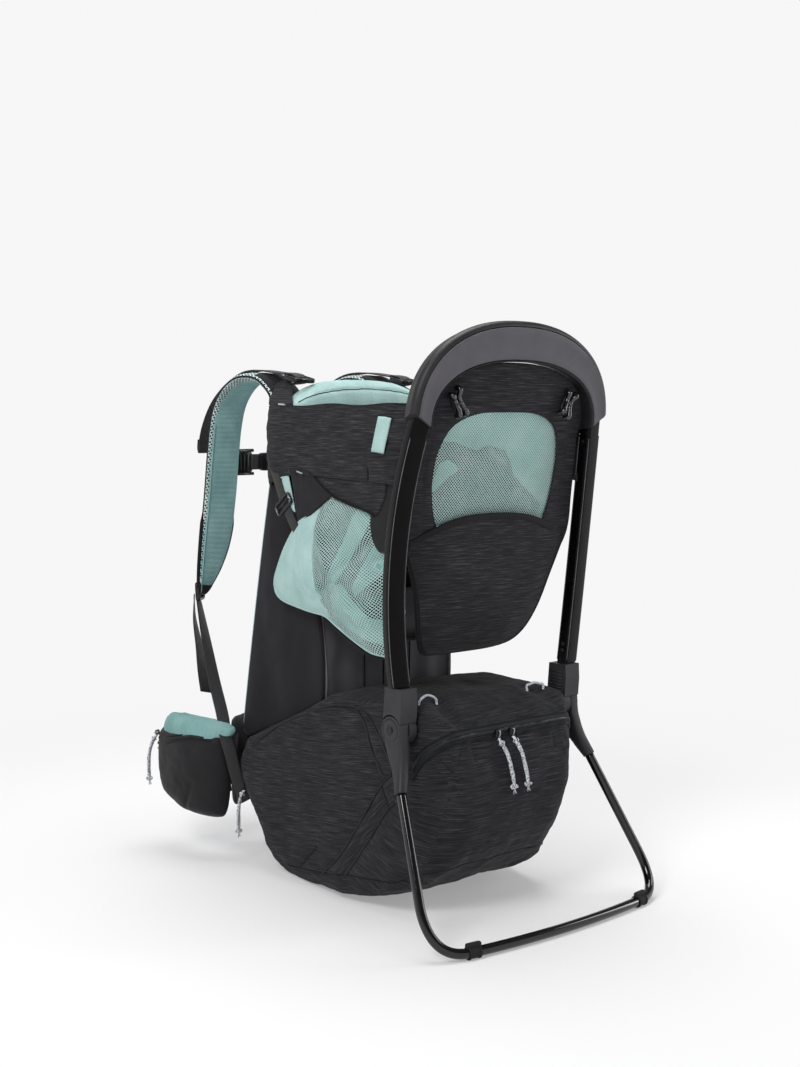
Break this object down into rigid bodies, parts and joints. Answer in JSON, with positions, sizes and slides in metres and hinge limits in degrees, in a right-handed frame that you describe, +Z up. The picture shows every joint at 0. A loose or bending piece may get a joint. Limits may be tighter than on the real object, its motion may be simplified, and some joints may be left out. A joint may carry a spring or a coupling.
{
  "type": "baby carrier backpack",
  "caption": "Framed child carrier backpack with padded cockpit, storage bag, hip belt, shoulder harness and a fold-out tube stand.",
  "frame": {"origin": "middle of the whole carrier's outline in plan, on the floor", "axes": "X across the carrier, -Y to the side of the handle and stand, +Y to the wearer's side, +Z up"},
  "size_m": [0.423, 0.726, 0.8],
  "materials": {
    "handle_plastic": "satin grain",
    "handle_face": "matte grain",
    "black_tube": "gloss",
    "hub_plastic": "matte grain",
    "hardware_black": "satin",
    "steel": "satin",
    "inner_tube": "satin",
    "board_plastic": "matte",
    "foot_rubber": "matte",
    "heather_fabric": "slubbed weave",
    "plain_fabric": "plain weave",
    "black_fabric": "smooth coated weave",
    "teal_mesh": "open diamond mesh",
    "teal_fabric": "brushed knit",
    "teal_pad": "brushed knit",
    "webbing": "ribbed weave",
    "cord": "braided reflective",
    "loop_cord": "braided"
  },
  "bodies": {
    "carrier": {"handle_shell": "handle_plastic", "handle_trim": "handle_face", "frame_bar_left": "black_tube", "frame_bar_right": "black_tube", "frame_fasteners": "steel", "hub_left": "hub_plastic", "hub_right": "hub_plastic", "inner_frame": "inner_tube", "frame_sheet": "board_plastic", "rear_panel": "heather_fabric", "rear_mesh": "teal_mesh", "rear_pocket": "heather_fabric", "canopy_clips": "hardware_black", "side_panel_left": "heather_fabric", "side_panel_right": "heather_fabric", "seat_wing_left": "teal_mesh", "seat_wing_right": "teal_mesh", "seat_back": "plain_fabric", "drool_pad": "teal_fabric", "seat_base": "plain_fabric", "child_harness": "webbing", "lower_bag": "heather_fabric", "bag_board": "board_plastic", "bag_zip": "webbing", "gear_loops": "loop_cord", "side_pulls": "cord", "gusset_left": "plain_fabric", "gusset_right": "plain_fabric", "back_pad": "black_fabric", "lumbar_pad": "black_fabric", "hip_pad_left": "teal_pad", "hip_pad_right": "teal_pad", "hip_pocket_left": "black_fabric", "hip_pocket_right": "black_fabric", "belt_webbing_left": "webbing", "belt_webbing_right": "webbing", "belt_socket": "hardware_black"},
    "stand": {"stand_knuckle_left": "hub_plastic", "stand_knuckle_right": "hub_plastic", "stand_tube": "black_tube", "foot_clips": "foot_rubber"},
    "harness": {"harness_yoke": "plain_fabric", "shoulder_strap_left": "teal_pad", "shoulder_strap_right": "teal_pad", "load_lifters": "webbing", "ladder_locks": "hardware_black", "strap_buckles": "hardware_black", "strap_webbings": "webbing", "sternum_strap": "webbing"},
    "sternum_tongue": {"sternum_webbing": "webbing", "sternum_plug": "hardware_black"},
    "belt_tongue": {"belt_plug": "hardware_black"},
    "bag_zip_left": {"bag_slider_left": "hardware_black", "bag_pull_left": "cord"},
    "bag_zip_right": {"bag_slider_right": "hardware_black", "bag_pull_right": "cord"},
    "hip_zip_left": {"hip_slider_left": "hardware_black", "hip_pull_left": "cord"},
    "hip_zip_right": {"hip_slider_right": "hardware_black", "hip_pull_right": "cord"}
  },
  "joints": [
    {"name": "stand_swing", "type": "hinge", "parent": "carrier", "child": "stand", "pos_m": [0, -0.196, 0.266], "axis": [1, 0, 0], "range_deg": [0, 50]},
    {"name": "torso_slide", "type": "slide", "parent": "carrier", "child": "harness", "axis": [0, -0.2135, 0.9769], "range_m": [0, 0.04]},
    {"name": "sternum_release", "type": "slide", "parent": "harness", "child": "sternum_tongue", "axis": [1, 0, 0], "range_m": [0, 0.02]},
    {"name": "belt_release", "type": "slide", "parent": "carrier", "child": "belt_tongue", "axis": [1, 0, 0], "range_m": [0, 0.024]},
    {"name": "bag_zip_left_slide", "type": "slide", "parent": "carrier", "child": "bag_zip_left", "axis": [1, 0, 0], "range_m": [-0.06, 0.005]},
    {"name": "bag_zip_right_slide", "type": "slide", "parent": "carrier", "child": "bag_zip_right", "axis": [1, 0, 0], "range_m": [-0.005, 0.09]},
    {"name": "hip_zip_left_slide", "type": "hinge", "parent": "carrier", "child": "hip_zip_left", "pos_m": [0, 0.284, 0.18], "axis": [0, 0, 1], "range_deg": [-2, 30]},
    {"name": "hip_zip_right_slide", "type": "hinge", "parent": "carrier", "child": "hip_zip_right", "pos_m": [0, 0.284, 0.18], "axis": [0, 0, 1], "range_deg": [-30, 2]}
  ]
}
